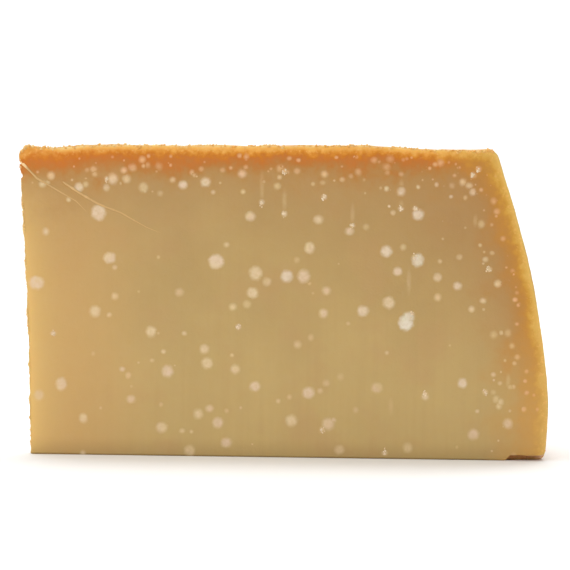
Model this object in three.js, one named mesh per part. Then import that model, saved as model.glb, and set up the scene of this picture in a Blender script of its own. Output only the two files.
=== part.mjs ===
// A chunk of aged hard cheese: a sixteenth of the upper half of a round wheel, standing on the level cut
// made at the wheel's mid-height. The front and the back are straight knife cuts that run towards the wheel's
// axis, the tip is a narrow broken edge, and the top and the rounded heel are rind.
// Millimetres, +Z up. The front cut faces -Y, the heel is at +X, and the origin is under the chunk's middle.
import * as THREE from "three";
import { mergeVertices } from "three/addons/utils/BufferGeometryUtils.js";
import { ImprovedNoise } from "three/addons/math/ImprovedNoise.js";

const { clamp, degToRad, lerp, smoothstep } = THREE.MathUtils;

// The wheel: half its height, its radius at the widest, and how its heel and top are rounded
const HALF_HEIGHT = 110;
const WHEEL_RADIUS = 203;
const BULGE_HEIGHT = 17;
const SHOULDER_INSET = 19.5;
const HEEL_POWER = 1.7;
const TOP_RISE = 0.5;
const TOP_FALL = 1.4;
const TOP_FALL_START = 0.72;
const TOP_FALL_END = 0.88;

// The shallow dip of the top rind behind the tip, which leaves the tip's own corner standing up
const DIP_DEPTH = 0.9;
const DIP_FROM_TIP = 13;
const DIP_REACH = 7;

// The cuts: the angle between the two knife cuts, and where the tip breaks off short of the wheel's axis
const CUT_ANGLE = degToRad(22.5);
const TIP_FROM_AXIS = 20;
const TIP_LEAN = 4.5;
const TIP_LEAN_POWER = 1.6;
const RIND_LIP = 0.5;
const RIND_LIP_HEIGHT = 7;

// Rounding of the four corners of the radial section
const ROUND_TIP_BASE = 0.8;
const ROUND_TIP_TOP = 5.5;
const ROUND_HEEL_BASE = 2;
const ROUND_HEEL_TOP = 3;

// The shallow chip broken out of the base, under the front end of the heel, deepest along the rind
const CHIP_LENGTH = 15;
const CHIP_DEPTH_INSIDE = 2.5;
const CHIP_DEPTH_AT_RIND = 5;
const CHIP_HEIGHT = 1.9;
const CHIP_SLOPE = 2;
const CHIP_FADE = 14;

// Relief: height and wavelength of the waves on rind, cuts and tip, and of the nicks along the rind's rim
const RIND_WAVE = { height: 0.35, length: 17, offset: 3.1 };
const CUT_WAVE = { height: 0.3, length: 26, offset: 7.7 };
const TIP_WAVE = { height: 0.7, length: 4.5, offset: 11.3 };
const NICK = { height: 1.1, length: 5.5, offset: 15.9, reach: 4 };
const BASE_MARGIN = 3;

// Steps of the surface along the radius, across the chunk and up it, drawn together towards the edges
const RADIAL_STEPS = 44;
const ACROSS_STEPS = 12;
const HEIGHT_STEPS = 28;
const EDGE_CROWDING = 0.72;

const SECTION_LENGTH = WHEEL_RADIUS - TIP_FROM_AXIS;
const noise = new ImprovedNoise();

// A smooth wave over space, from -1 to 1
function wave(point, { length, offset }) {
  return noise.noise(point.x / length + offset, point.y / length - offset, point.z / length + 2 * offset);
}

// Draws evenly spaced steps from 0 to 1 together towards both ends
function crowd(step) {
  return lerp(step, smoothstep(step, 0, 1), EDGE_CROWDING);
}

// Radius of the heel: widest at the bulge, drawn in towards the shoulder
function heelRadius(z) {
  const away = Math.abs(z - BULGE_HEIGHT) / (HALF_HEIGHT - BULGE_HEIGHT);
  return WHEEL_RADIUS - SHOULDER_INSET * away ** HEEL_POWER;
}

// Distance of the broken tip from the wheel's axis: it leans out ever more as it rises, and the rind juts out
function tipDistance(z) {
  const lip = smoothstep(z, HALF_HEIGHT - RIND_LIP_HEIGHT, HALF_HEIGHT - RIND_LIP_HEIGHT / 2);
  return TIP_FROM_AXIS - TIP_LEAN * Math.max(0, z / HALF_HEIGHT) ** TIP_LEAN_POWER - RIND_LIP * lip;
}

// Height of the top rind: it rises a little from the tip, falls towards the shoulder, and dips behind the
// tip's corner
function topHeight(along) {
  const fall = TOP_FALL * smoothstep(along, TOP_FALL_START, TOP_FALL_END);
  const fromDip = (along * SECTION_LENGTH - DIP_FROM_TIP) / DIP_REACH;
  return HALF_HEIGHT + TOP_RISE * along - fall - DIP_DEPTH * Math.exp(-fromDip * fromDip);
}

// Pulls a point of the flat section into its rounded corners: within a corner's square it moves onto the arc
// that goes through it, so that the square's outline becomes a quarter circle
function roundCorners(a, c) {
  const corners = [
    [0, 0, ROUND_TIP_BASE],
    [0, HALF_HEIGHT, ROUND_TIP_TOP],
    [SECTION_LENGTH, 0, ROUND_HEEL_BASE],
    [SECTION_LENGTH, HALF_HEIGHT, ROUND_HEEL_TOP],
  ];
  for (const [cornerA, cornerC, radius] of corners) {
    const inA = radius - Math.abs(a - cornerA);
    const inC = radius - Math.abs(c - cornerC);
    if (inA > 0 && inC > 0) {
      const pull = 1 - Math.max(inA, inC) / Math.hypot(inA, inC);
      a += Math.sign(SECTION_LENGTH / 2 - cornerA) * inA * pull;
      c += Math.sign(HALF_HEIGHT / 2 - cornerC) * inC * pull;
    }
  }
  return [a, c];
}

// Places a point of the unit box in the wheel: along is from the tip to the heel, across from the front cut
// to the back cut, and up from the base to the top
function placeInWheel(along, across, up) {
  const [a, c] = roundCorners(along * SECTION_LENGTH, up * HALF_HEIGHT);
  const share = a / SECTION_LENGTH;
  const z = (c / HALF_HEIGHT) * topHeight(share);
  const turn = across * CUT_ANGLE;
  const radius = lerp(tipDistance(z) / Math.cos(turn), heelRadius(z), share);
  return new THREE.Vector3(radius * Math.cos(turn), radius * Math.sin(turn), z);
}

// Lifts the base into the chip: full height at the heel's front end, fading inwards, backwards and upwards
function breakChip(point) {
  const start = WHEEL_RADIUS - CHIP_LENGTH;
  const depth = lerp(CHIP_DEPTH_INSIDE, CHIP_DEPTH_AT_RIND, clamp((point.x - start) / CHIP_LENGTH, 0, 1));
  const inwards = smoothstep(point.x, start, start + CHIP_SLOPE);
  const backwards = 1 - smoothstep(point.y, depth - CHIP_SLOPE, depth);
  const upwards = Math.max(0, 1 - point.z / CHIP_FADE);
  point.z += CHIP_HEIGHT * inwards * backwards * upwards;
}

// Nicks the rind's rim, where the top meets the two cuts
function nickRim(point, across, up) {
  const width = Math.hypot(point.x, point.y) * CUT_ANGLE;
  const fromCut = Math.min(across, 1 - across) * width;
  const fromTop = (1 - up) * HALF_HEIGHT;
  const near = Math.max(0, 1 - Math.hypot(fromCut, fromTop) / NICK.reach);
  point.z -= NICK.height * near * Math.max(0, wave(point, NICK));
}

// Height of the relief on a surface that faces the given way: none on the base, so that it rests flat
function relief(point, normal, along) {
  const clear = smoothstep(point.z, 0, BASE_MARGIN);
  const onRind = smoothstep(normal.z, 0.5, 0.9) + smoothstep(along, 0.97, 1);
  const onTip = 1 - smoothstep(along, 0, 0.02);
  const onCut = Math.max(0, 1 - onRind - onTip);
  const height =
    RIND_WAVE.height * wave(point, RIND_WAVE) * onRind +
    CUT_WAVE.height * wave(point, CUT_WAVE) * onCut +
    TIP_WAVE.height * wave(point, TIP_WAVE) * onTip;
  return clear * height;
}

// The closed surface: a finely divided box, bent into the wheel and then roughened along its normals
function chunkGeometry() {
  const box = new THREE.BoxGeometry(1, 1, 1, RADIAL_STEPS, ACROSS_STEPS, HEIGHT_STEPS);
  box.deleteAttribute("normal");
  box.deleteAttribute("uv");
  const geometry = mergeVertices(box);
  const position = geometry.getAttribute("position");
  const alongs = [];
  for (let i = 0; i < position.count; i++) {
    const along = crowd(position.getX(i) + 0.5);
    const across = crowd(position.getY(i) + 0.5);
    const up = crowd(position.getZ(i) + 0.5);
    const point = placeInWheel(along, across, up);
    nickRim(point, across, up);
    breakChip(point);
    position.setXYZ(i, point.x, point.y, point.z);
    alongs.push(along);
  }
  geometry.computeVertexNormals();
  const normals = geometry.getAttribute("normal");
  const point = new THREE.Vector3();
  const normal = new THREE.Vector3();
  for (let i = 0; i < position.count; i++) {
    point.fromBufferAttribute(position, i);
    normal.fromBufferAttribute(normals, i);
    point.addScaledVector(normal, relief(point, normal, alongs[i]));
    position.setXYZ(i, point.x, point.y, point.z);
  }
  geometry.computeBoundingBox();
  const { min, max } = geometry.boundingBox;
  geometry.translate(-(min.x + max.x) / 2, -(min.y + max.y) / 2, -min.z);
  geometry.computeVertexNormals();
  return geometry;
}

const paste = new THREE.MeshStandardMaterial({ color: 0xc4a268, roughness: 0.55, metalness: 0 });

const chunk = new THREE.Mesh(chunkGeometry(), paste);
chunk.name = "hard_cheese_chunk";

const cheese = new THREE.Group();
cheese.add(chunk);

export default cheese;
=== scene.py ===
"""A chunk of aged hard cheese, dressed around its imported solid.

The chunk is a sixteenth of the upper half of a round wheel. It stands on a level cut, its front and back are
knife cuts, its tip is a narrow broken edge, and its top and heel are rind. Lengths are millimetres in the
wheel's own frame until a mesh is made: the wheel's axis stands at x = y = 0 and the front cut lies in y = 0.
"""

import logging
import math
from dataclasses import dataclass, field
from enum import Enum
from itertools import product

import bpy
import numpy as np
from mathutils import Matrix, Vector
from numpy.typing import NDArray

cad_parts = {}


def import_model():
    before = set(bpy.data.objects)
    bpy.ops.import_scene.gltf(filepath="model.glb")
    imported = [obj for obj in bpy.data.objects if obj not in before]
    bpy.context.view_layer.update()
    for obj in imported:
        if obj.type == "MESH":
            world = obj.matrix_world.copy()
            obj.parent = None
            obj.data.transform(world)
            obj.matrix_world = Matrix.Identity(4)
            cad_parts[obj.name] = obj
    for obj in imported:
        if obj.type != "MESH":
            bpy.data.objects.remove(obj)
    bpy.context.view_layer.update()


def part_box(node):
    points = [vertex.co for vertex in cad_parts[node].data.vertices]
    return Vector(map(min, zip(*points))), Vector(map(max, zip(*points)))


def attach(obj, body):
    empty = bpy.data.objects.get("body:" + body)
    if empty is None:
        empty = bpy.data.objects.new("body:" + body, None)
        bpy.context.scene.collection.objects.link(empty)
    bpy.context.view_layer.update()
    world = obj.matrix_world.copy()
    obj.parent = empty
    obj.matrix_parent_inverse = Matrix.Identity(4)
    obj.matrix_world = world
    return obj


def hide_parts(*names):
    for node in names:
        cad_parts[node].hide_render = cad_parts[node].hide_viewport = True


Array = NDArray[np.float64]
Numbers = NDArray[np.int64]
Tint = tuple[int, int, int]
Stops = tuple[tuple[float, Tint, float], ...]
Socket = bpy.types.NodeSocket
Value = Socket | float | tuple[float, float, float, float]
Waves = tuple[tuple[float, float], ...]
Place = tuple[float, float, float]
LOG = logging.getLogger("cheese")

NODE = "hard_cheese_chunk"
BODY = "root"
MM = 0.001
FACING_FRONT = (0.0, -1.0, 0.0)

# Share of its radius at which a nest's cover is half
NEST_HALF_WAY = 0.9


class Side(Enum):
    """The sides of the unit box that is bent into the chunk, as (axis, end)."""

    TIP = (0, 0)
    HEEL = (0, 1)
    FRONT = (1, 0)
    BACK = (1, 1)
    BASE = (2, 0)
    TOP = (2, 1)


class Field(Enum):
    """What a mesh tells its finish, by attribute name."""

    RIND_DEPTH = "rind_depth"
    UNDER_TOP = "under_top"
    DRYNESS = "dryness"
    TIP_NEAR = "tip_near"
    OUTSIDE = "outside"
    BROKEN = "broken"
    CHIP = "chip"
    BASE = "base"
    NEST_WAY = "nest_way"
    NEST_SOFT = "nest_soft"
    NEST_PALE = "nest_pale"
    NEST_WHITE = "nest_white"
    WARMTH = "warmth"


def smooth_step(value: Array, low: float, high: float) -> Array:
    """Gives 0 up to low and 1 from high on, joined by the cubic 3s^2 - 2s^3.

    Args:
        value: Where to read the step.
        low: Where it starts to rise.
        high: Where it is 1.

    Returns:
        The step, from 0 to 1.
    """
    share = np.clip((value - low) / (high - low), 0, 1)
    return share * share * (3 - 2 * share)


def linear(tint: Tint) -> tuple[float, float, float, float]:
    """Turns a screen colour of 0 to 255 a channel into the linear colour with alpha 1 that shaders take."""
    return (*(((c / 255 + 0.055) / 1.055) ** 2.4 for c in tint), 1.0)


@dataclass(frozen=True)
class Unevenness:
    """Seeded gradient noise over space, the source of every waviness and crumble."""

    seed: int
    strides: tuple[int, int, int] = (73856093, 19349663, 83492791)
    mixers: tuple[int, int] = (0xBF58476D1CE4E5B9, 0x94D049BB133111EB)
    bits: int = 21
    gain: float = 1.6

    def slopes(self, cells: Numbers) -> Array:
        """Hashes lattice cells into slopes by multiply and shift.

        Args:
            cells: Whole-number lattice places, one row each.

        Returns:
            A slope along x, y and z for each cell, from -1 to 1.
        """
        mixed = (cells @ np.array(self.strides) + self.seed).astype(np.uint64)
        for mixer, shift in zip(self.mixers, (30, 27)):
            mixed = (mixed ^ (mixed >> np.uint64(shift))) * np.uint64(mixer)
        mixed ^= mixed >> np.uint64(31)
        parts = [(mixed >> np.uint64(self.bits * axis)) % np.uint64(2**self.bits) for axis in range(3)]
        return np.stack(parts, axis=1) / 2.0 ** (self.bits - 1) - 1

    def waves(self, points: Array, wavelength: float) -> Array:
        """Blends, in each lattice cell, the slopes of its eight corners by quintic weights.

        Callers shift the points, each by an amount of its own, so that no two waves rise together.

        Args:
            points: Where to read the noise, one row each.
            wavelength: Edge of a lattice cell.

        Returns:
            The noise at each point, about -1 to 1.
        """
        scaled = points / wavelength
        cells = np.floor(scaled).astype(np.int64)
        inside = scaled - cells
        weight = inside**3 * (inside * (inside * 6 - 15) + 10)
        total = np.zeros(len(points))
        for corner in product((0, 1), repeat=3):
            rise = ((inside - corner) * self.slopes(cells + corner)).sum(axis=1)
            total += rise * np.where(corner, weight, 1 - weight).prod(axis=1)
        return self.gain * total


@dataclass(frozen=True)
class BoxShell:
    """The surface of a unit box, divided into quads and welded along its edges."""

    steps: tuple[int, int, int]

    def side(self, side: Side) -> Numbers:
        """Numbers the lattice points of one side.

        Args:
            side: Which side of the box.

        Returns:
            A grid of lattice numbers that winds round the outward normal.
        """
        axis, end = side.value
        first, second = (axis + 1) % 3, (axis + 2) % 3
        place = [np.zeros(1, np.int64)] * 3
        place[axis] = np.array(end * self.steps[axis])
        place[first] = np.arange(self.steps[first] + 1)[:, None]
        place[second] = np.arange(self.steps[second] + 1)[None, :]
        number = (place[0] * (self.steps[1] + 1) + place[1]) * (self.steps[2] + 1) + place[2]
        return number if end else number[::-1]

    def quads_and_shares(self) -> tuple[Numbers, Array]:
        """Joins the grids of the six sides and drops the points that no side uses.

        Returns:
            The corners of each quad, and each point's share along x, y and z of the box.
        """
        grids = [self.side(side) for side in Side]
        corners = [(g[:-1, :-1], g[1:, :-1], g[1:, 1:], g[:-1, 1:]) for g in grids]
        numbers = np.concatenate([np.stack(c, axis=-1).reshape(-1, 4) for c in corners])
        used, quads = np.unique(numbers, return_inverse=True)
        rest, up = np.divmod(used, self.steps[2] + 1)
        along, across = np.divmod(rest, self.steps[1] + 1)
        return quads.reshape(-1, 4), np.stack([along, across, up], axis=1) / np.array(self.steps)


@dataclass(frozen=True)
class ClosedBodies:
    """Many small closed bodies of one topology: rings of points between two poles."""

    rings: int
    around: int

    @property
    def size(self) -> int:
        """Number of points in one body, its rings and its two poles."""
        return self.rings * self.around + 2

    def faces(self, count: int) -> Numbers:
        """Joins ring to ring and the end rings to their poles by triangles that face outwards.

        Args:
            count: How many bodies there are.

        Returns:
            The corners of every triangle.
        """
        ring = 1 + np.arange(self.rings * self.around).reshape(self.rings, self.around)
        turned = np.roll(ring, -1, axis=1)
        pole = np.zeros(self.around, np.int64)
        one = np.concatenate([
            np.stack([pole, turned[0], ring[0]], axis=1),
            np.stack([ring[:-1], turned[:-1], turned[1:]], axis=-1).reshape(-1, 3),
            np.stack([ring[:-1], turned[1:], ring[1:]], axis=-1).reshape(-1, 3),
            np.stack([pole + self.size - 1, ring[-1], turned[-1]], axis=1),
        ])
        return (np.arange(count)[:, None, None] * self.size + one).reshape(-1, 3)

    def lumps(self, centres: Array, axes: Array, swell: Array) -> Array:
        """Carries a unit ball onto each body's three half axes and swells each point by its own share.

        Args:
            centres: Middle of each body.
            axes: Three half axes of each body, the last from pole to pole, as rows.
            swell: How much further out each point of each body lies, as a share.

        Returns:
            The points of all bodies in order.
        """
        tilt = np.pi * np.arange(1, self.rings + 1) / (self.rings + 1)
        turn = 2 * np.pi * np.arange(self.around) / self.around
        ring = np.stack([
            np.outer(np.sin(tilt), np.cos(turn)),
            np.outer(np.sin(tilt), np.sin(turn)),
            np.outer(-np.cos(tilt), np.ones(self.around)),
        ], axis=-1).reshape(-1, 3)
        ball = np.concatenate([[(0, 0, -1)], ring, [(0, 0, 1)]])
        moved = np.einsum("nkc,ncd->nkd", ball * (1 + swell[:, :, None]), axes)
        return (centres[:, None] + moved).reshape(-1, 3)

    def ridges(self, paths: Array, normals: Array, widths: Array, heights: Array) -> Array:
        """Carries an ellipse along each path: wide across it, low along the normal, closed at both ends.

        Args:
            paths: A path for each body, with a point for each ring and one for each pole.
            normals: The direction of the ellipse's low axis, one for each body.
            widths: Half width at each ring.
            heights: Half height at each ring.

        Returns:
            The points of all bodies in order.
        """
        along = paths[:, 2:] - paths[:, :-2]
        along /= np.linalg.norm(along, axis=2, keepdims=True)
        aside = np.cross(normals[:, None], along)
        turn = 2 * np.pi * np.arange(self.around) / self.around
        wide = (aside * widths[:, :, None])[:, :, None] * np.cos(turn)[:, None]
        high = (normals[:, None] * heights[:, :, None])[:, :, None] * np.sin(turn)[:, None]
        rings = (paths[:, 1:-1, None] + wide + high).reshape(len(paths), -1, 3)
        return np.concatenate([paths[:, :1], rings, paths[:, -1:]], axis=1).reshape(-1, 3)


def mesh_object(name: str, points: Array, faces: Numbers) -> bpy.types.Object:
    """Makes a smooth-shaded mesh object from points in metres and faces of one size.

    Args:
        name: The piece's name.
        points: The vertices, one row each.
        faces: The corners of each face, one row each.

    Returns:
        The object, linked to the scene.
    """
    mesh = bpy.data.meshes.new(name)
    count, size = faces.shape
    mesh.vertices.add(len(points))
    mesh.vertices.foreach_set("co", np.ascontiguousarray(points, np.float32).ravel())
    mesh.loops.add(count * size)
    mesh.loops.foreach_set("vertex_index", np.ascontiguousarray(faces, np.int32).ravel())
    mesh.polygons.add(count)
    mesh.polygons.foreach_set("loop_start", np.arange(0, count * size, size, dtype=np.int32))
    mesh.polygons.foreach_set("use_smooth", np.ones(count, bool))
    mesh.update(calc_edges=True)
    piece = bpy.data.objects.new(name, mesh)
    bpy.context.scene.collection.objects.link(piece)
    return piece


def write_field(piece: bpy.types.Object, name: Field, values: Array) -> None:
    """Stores values in the piece's mesh: numbers or vectors, one a point or one a face corner.

    Args:
        piece: The object.
        name: The attribute.
        values: One row or number for each point or each corner.
    """
    domain = "POINT" if len(values) == len(piece.data.vertices) else "CORNER"
    kind, key = ("FLOAT_VECTOR", "vector") if values.ndim == 2 else ("FLOAT", "value")
    attribute = piece.data.attributes.new(name.value, kind, domain)
    attribute.data.foreach_set(key, np.ascontiguousarray(values, np.float32).ravel())


def join_body(piece: bpy.types.Object, material: bpy.types.Material) -> None:
    """Dresses a piece and makes it ride on the chunk's body.

    Args:
        piece: The object.
        material: Its finish.
    """
    piece.data.materials.append(material)
    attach(piece, BODY)


def face_normals(points: Array, faces: Numbers) -> Array:
    """Crosses the diagonals of each quad: half the product is its area, and its direction the normal."""
    corner = points[faces]
    return np.cross(corner[:, 2] - corner[:, 0], corner[:, 3] - corner[:, 1]) / 2


def point_normals(points: Array, faces: Numbers) -> Array:
    """Adds up at each point the area normals of its quads.

    Args:
        points: The vertices.
        faces: The corners of each quad.

    Returns:
        A unit normal for each point.
    """
    facing = face_normals(points, faces)
    normals = np.zeros_like(points)
    for turn in range(faces.shape[1]):
        np.add.at(normals, faces[:, turn], facing)
    return normals / np.linalg.norm(normals, axis=1, keepdims=True)


@dataclass(frozen=True)
class Wheel:
    """The whole wheel's form, and where the cuts and the tip lie in it."""

    half_height: float = 110.0
    radius: float = 203.0
    bulge_height: float = 17.0
    shoulder_inset: float = 19.5
    heel_power: float = 1.7
    top_rise: float = 0.5
    top_fall: float = 1.4
    top_fall_span: tuple[float, float] = (0.72, 0.88)
    dip_depth: float = 0.9
    dip_from_tip: float = 13.0
    dip_reach: float = 7.0
    cut_angle: float = math.radians(22.5)
    tip_from_axis: float = 20.0
    tip_lean: float = 4.5
    tip_lean_power: float = 1.6
    rind_lip: float = 0.5
    rind_lip_height: float = 7.0

    @property
    def length(self) -> float:
        """Length of the section along the base, from the tip to the heel's widest point."""
        return self.radius - self.tip_from_axis

    def heel_radius(self, z: Array) -> Array:
        """Radius of the heel: widest at the bulge, drawn in by a power curve towards the shoulder."""
        away = np.abs(z - self.bulge_height) / (self.half_height - self.bulge_height)
        return self.radius - self.shoulder_inset * away**self.heel_power

    def tip_distance(self, z: Array) -> Array:
        """Distance of the tip from the axis: it leans out by a power of its height, and the rind juts out.

        Args:
            z: Heights.

        Returns:
            The distance at each height.
        """
        below_rind = self.half_height - self.rind_lip_height
        lip = smooth_step(z, below_rind, below_rind + self.rind_lip_height / 2)
        lean = self.tip_lean * np.clip(z / self.half_height, 0, None) ** self.tip_lean_power
        return self.tip_from_axis - lean - self.rind_lip * lip

    def top_height(self, share: Array) -> Array:
        """Height of the top rind: a slow rise, less a smooth step at the shoulder and a bell by the tip.

        Args:
            share: Share of the way from the tip to the heel.

        Returns:
            The height at each share.
        """
        fall = self.top_fall * smooth_step(share, *self.top_fall_span)
        from_dip = (share * self.length - self.dip_from_tip) / self.dip_reach
        return self.half_height + self.top_rise * share - fall - self.dip_depth * np.exp(-(from_dip**2))

    def place(self, a: Array, across: Array, c: Array) -> Array:
        """Bends the flat section into the wheel.

        A point's radius goes evenly from the tip's plane to the heel, and it turns about the wheel's axis.

        Args:
            a: Distance from the tip along the section.
            across: Share of the way from the front cut to the back cut.
            c: Height in the section.

        Returns:
            The points in the wheel's frame.
        """
        share = a / self.length
        z = c / self.half_height * self.top_height(share)
        turn = across * self.cut_angle
        start = self.tip_distance(z) / np.cos(turn)
        radius = start + share * (self.heel_radius(z) - start)
        return np.stack([radius * np.cos(turn), radius * np.sin(turn), z], axis=1)

    def depths(self, points: Array) -> tuple[Array, Array]:
        """Measures how deep points lie under the rind.

        Args:
            points: Points in the wheel's frame.

        Returns:
            The depth under the top and the depth inside the heel.
        """
        radius = np.hypot(points[:, 0], points[:, 1])
        heel = self.heel_radius(points[:, 2])
        share = np.clip((radius - self.tip_from_axis) / (heel - self.tip_from_axis), 0, 1)
        return self.top_height(share) - points[:, 2], heel - radius

    def on_cut(self, places: Array, back: Array | float = 0.0) -> Array:
        """Turns (distance from the tip's foot, height) into points between the front cut and the back cut.

        Args:
            places: Rows of distance and height.
            back: Share of the way from the front cut to the back cut.

        Returns:
            The points in the wheel's frame.
        """
        radius = self.tip_from_axis + places[..., 0]
        turn = back * self.cut_angle
        return np.stack([radius * np.cos(turn), radius * np.sin(turn), places[..., 1]], axis=-1)


@dataclass(frozen=True)
class Nests:
    """Nests of pale crystals in the paste, soft round patches on the skin.

    The main nests on the front cut are listed to the millimetre, as (distance from the tip's foot,
    height, radius), each list from its palest on. Where the knife has torn up a crystal there is a small
    bright nest, as (distance, height), and where it has dragged one along a tall faint nest, as (distance,
    upper height, lower height). Other large nests are drawn over the back cut and the base, and small ones
    over both cuts, most of them in a band under the rind.
    """

    wheel: Wheel
    bright: tuple[Place, ...] = (
        (133, 48, 2.7), (134, 50, 2.0), (137, 70, 2.1), (91, 64, 2.1), (126, 73, 2.0), (137, 86, 2.0),
        (118, 52, 2.0), (153, 27, 1.6), (54, 96, 1.6), (62, 97, 1.8), (66, 69, 2.8), (151, 61, 1.4),
        (17, 95, 1.6), (28, 70, 2.2), (29, 98, 1.8), (49, 30, 2.0), (43, 44, 1.8), (131, 94, 1.4),
        (140, 22, 1.2), (7, 99, 1.3), (4, 96, 1.2), (165, 62, 1.2), (156, 53, 1.1), (156, 94, 1.1),
        (160, 56, 1.0), (33, 101, 1.1),
    )
    clear: tuple[Place, ...] = (
        (24, 86, 2.7), (127, 55, 2.1), (99, 23, 2.2), (79, 58, 2.0), (130, 66, 1.6), (80, 65, 2.3),
        (62, 38, 1.6), (80, 25, 1.9), (93, 13, 2.0), (2, 61, 2.8), (75, 100, 1.4), (113, 80, 1.5),
        (63, 33, 2.0), (102, 84, 1.6), (97, 64, 2.2), (104, 51, 1.5), (78, 85, 1.8), (99, 74, 1.8),
        (67, 12, 2.0), (70, 5, 1.9), (34, 98, 1.4), (11, 25, 2.1), (157, 9, 1.9), (47, 10, 2.0),
        (106, 12, 2.2), (23, 51, 2.0), (169, 13, 1.6), (73, 31, 1.6), (60, 15, 1.6), (64, 17, 1.4),
        (144, 64, 1.4), (105, 59, 1.4), (36, 20, 1.5), (19, 13, 1.5), (72, 53, 1.3), (104, 100, 1.2),
    )
    faint: tuple[Place, ...] = (
        (36, 102, 1.4), (40, 95, 1.6), (84, 62, 1.5), (123, 25, 2.0), (110, 3, 1.7), (57, 2, 1.9),
        (3, 21, 1.8), (134, 4, 1.5), (53, 58, 1.5), (77, 54, 1.3), (95, 40, 1.3),
    )
    torn: tuple[tuple[float, float], ...] = (
        (82, 90), (90, 86), (104, 92), (114, 82), (131, 88), (136, 88), (90, 101), (74, 46), (8, 43),
        (135, 51), (136, 71), (161, 24), (104, 10), (126, 2), (156, 100), (158, 102), (162, 67), (27, 98),
        (140, 23),
    )
    drags: tuple[Place, ...] = (
        (82, 100, 91), (90, 94, 87), (114, 89, 83), (131, 98, 95), (131, 91, 88), (134, 66, 59),
        (128, 21, 16), (157, 86, 82), (169, 30, 26),
    )
    paleness: tuple[float, float, float] = (1.0, 0.96, 0.7)
    whiteness: tuple[float, float, float] = (1.0, 0.68, 0.46)
    whiteness_at_end: float = 0.3
    drawn_whiteness: float = 0.7
    drawn_paleness: tuple[float, float] = (0.4, 1.0)
    torn_size: float = 0.9
    drag_width: float = 0.75
    drag_paleness: float = 0.3
    back_count: int = 74
    base_count: int = 34
    large_sizes: tuple[float, float] = (1.2, 2.8)
    large_power: float = 1.7
    large_clearance: float = 4.0
    speck_count: int = 480
    speck_shares: tuple[float, float, float] = (0.38, 0.32, 0.3)
    speck_on_front: float = 0.45
    speck_sizes: tuple[float, float] = (0.35, 1.2)
    speck_paleness: tuple[float, float] = (0.4, 0.95)
    speck_starts: tuple[float, float] = (3.8, 6.0)
    speck_reach: float = 13.0
    speck_power: float = 1.3
    soft_edge: float = 0.85
    softness: tuple[float, float] = (0.32, 0.7)
    soft_spread: tuple[float, float] = (0.85, 1.15)
    tallness: tuple[float, float] = (0.87, 1.15)
    seed: int = 20

    def rows(self, places: Array, size: Array | float, pale: Array | float, tall: Array | float = 1.0,
             back: Array | float = 0.0) -> Array:
        """Lines up nests on the cuts.

        Args:
            places: Rows of distance from the tip's foot and height.
            size: Radius, one for all or one each.
            pale: Paleness, likewise.
            tall: How many times taller than wide, likewise.
            back: Share of the way from the front cut to the back cut, likewise.

        Returns:
            Rows of centre, radius, paleness and tallness.
        """
        centres = self.wheel.on_cut(places, back)
        rest = [np.broadcast_to(value, len(centres)) for value in (size, pale, tall)]
        return np.column_stack([centres, *rest])

    def shown(self) -> Array:
        """Lines up the nests placed on the front cut, the bright ones first.

        Returns:
            Rows of centre, radius, paleness and tallness.
        """
        groups = [np.array(group, float) for group in (self.bright, self.clear, self.faint)]
        rounds = [self.rows(group[:, :2], group[:, 2], pale) for group, pale in zip(groups, self.paleness)]
        torn = self.rows(np.array(self.torn, float), self.torn_size, 1.0)
        along, upper, lower = np.array(self.drags, float).T
        middles = np.stack([along, (upper + lower) / 2], axis=1)
        tall = (upper - lower) / 2 / self.drag_width
        return np.concatenate([*rounds, torn, self.rows(middles, self.drag_width, self.drag_paleness, tall)])

    def large(self, draw: np.random.Generator) -> Array:
        """Draws large nests evenly over the back cut and the base, and drops those too near the rind.

        Args:
            draw: The source of random numbers.

        Returns:
            Rows of centre, radius, paleness and tallness.
        """
        wheel = self.wheel
        count = self.back_count + self.base_count
        on_back = np.arange(count) < self.back_count
        along = wheel.length * np.where(on_back, draw.random(count), np.sqrt(draw.random(count)))
        height = np.where(on_back, wheel.half_height * draw.random(count), 0.0)
        back = np.where(on_back, 1.0, draw.random(count))
        size = self.large_sizes[0] + np.ptp(self.large_sizes) * draw.random(count) ** self.large_power
        pale = draw.uniform(*self.drawn_paleness, count)
        rows = self.rows(np.stack([along, height], axis=1), size, pale, back=back)
        return rows[np.minimum(*wheel.depths(rows[:, :3])) > self.large_clearance * size]

    def specks(self, draw: np.random.Generator) -> Array:
        """Draws small nests on both cuts: some under the top, some inside the heel, and some anywhere.

        Args:
            draw: The source of random numbers.

        Returns:
            Rows of centre, radius, paleness and tallness.
        """
        wheel = self.wheel
        count = self.speck_count
        zone = draw.choice(3, count, p=self.speck_shares)
        deeper = self.speck_reach * draw.random(count) ** self.speck_power
        under, inside = np.add.outer(self.speck_starts, deeper)
        height = np.where(zone == 0, wheel.half_height - under, wheel.half_height * draw.random(count))
        room = wheel.heel_radius(height) - wheel.tip_from_axis
        along = np.where(zone == 1, room - inside, room * draw.random(count))
        size = self.speck_sizes[0] + np.ptp(self.speck_sizes) * draw.random(count) ** self.speck_power
        on_back = draw.random(count) > self.speck_on_front
        pale = draw.uniform(*self.speck_paleness, count)
        return self.rows(np.stack([along, height], axis=1), size, pale, back=1.0 * on_back)

    def white(self, pale: Array, draw: np.random.Generator) -> Array:
        """Whitens the placed nests evenly less down their lists, and the drawn ones at random.

        Args:
            pale: Paleness of all nests, the placed ones first.
            draw: The source of random numbers.

        Returns:
            The whiteness of each nest.
        """
        white = self.drawn_whiteness * pale * draw.random(len(pale))
        placed = [
            share * np.linspace(1.0, self.whiteness_at_end, len(group))
            for share, group in zip(self.whiteness, (self.bright, self.clear, self.faint))
        ]
        drawn_from = sum(len(group) for group in placed)
        return np.concatenate([*placed, white[drawn_from:]])

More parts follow.
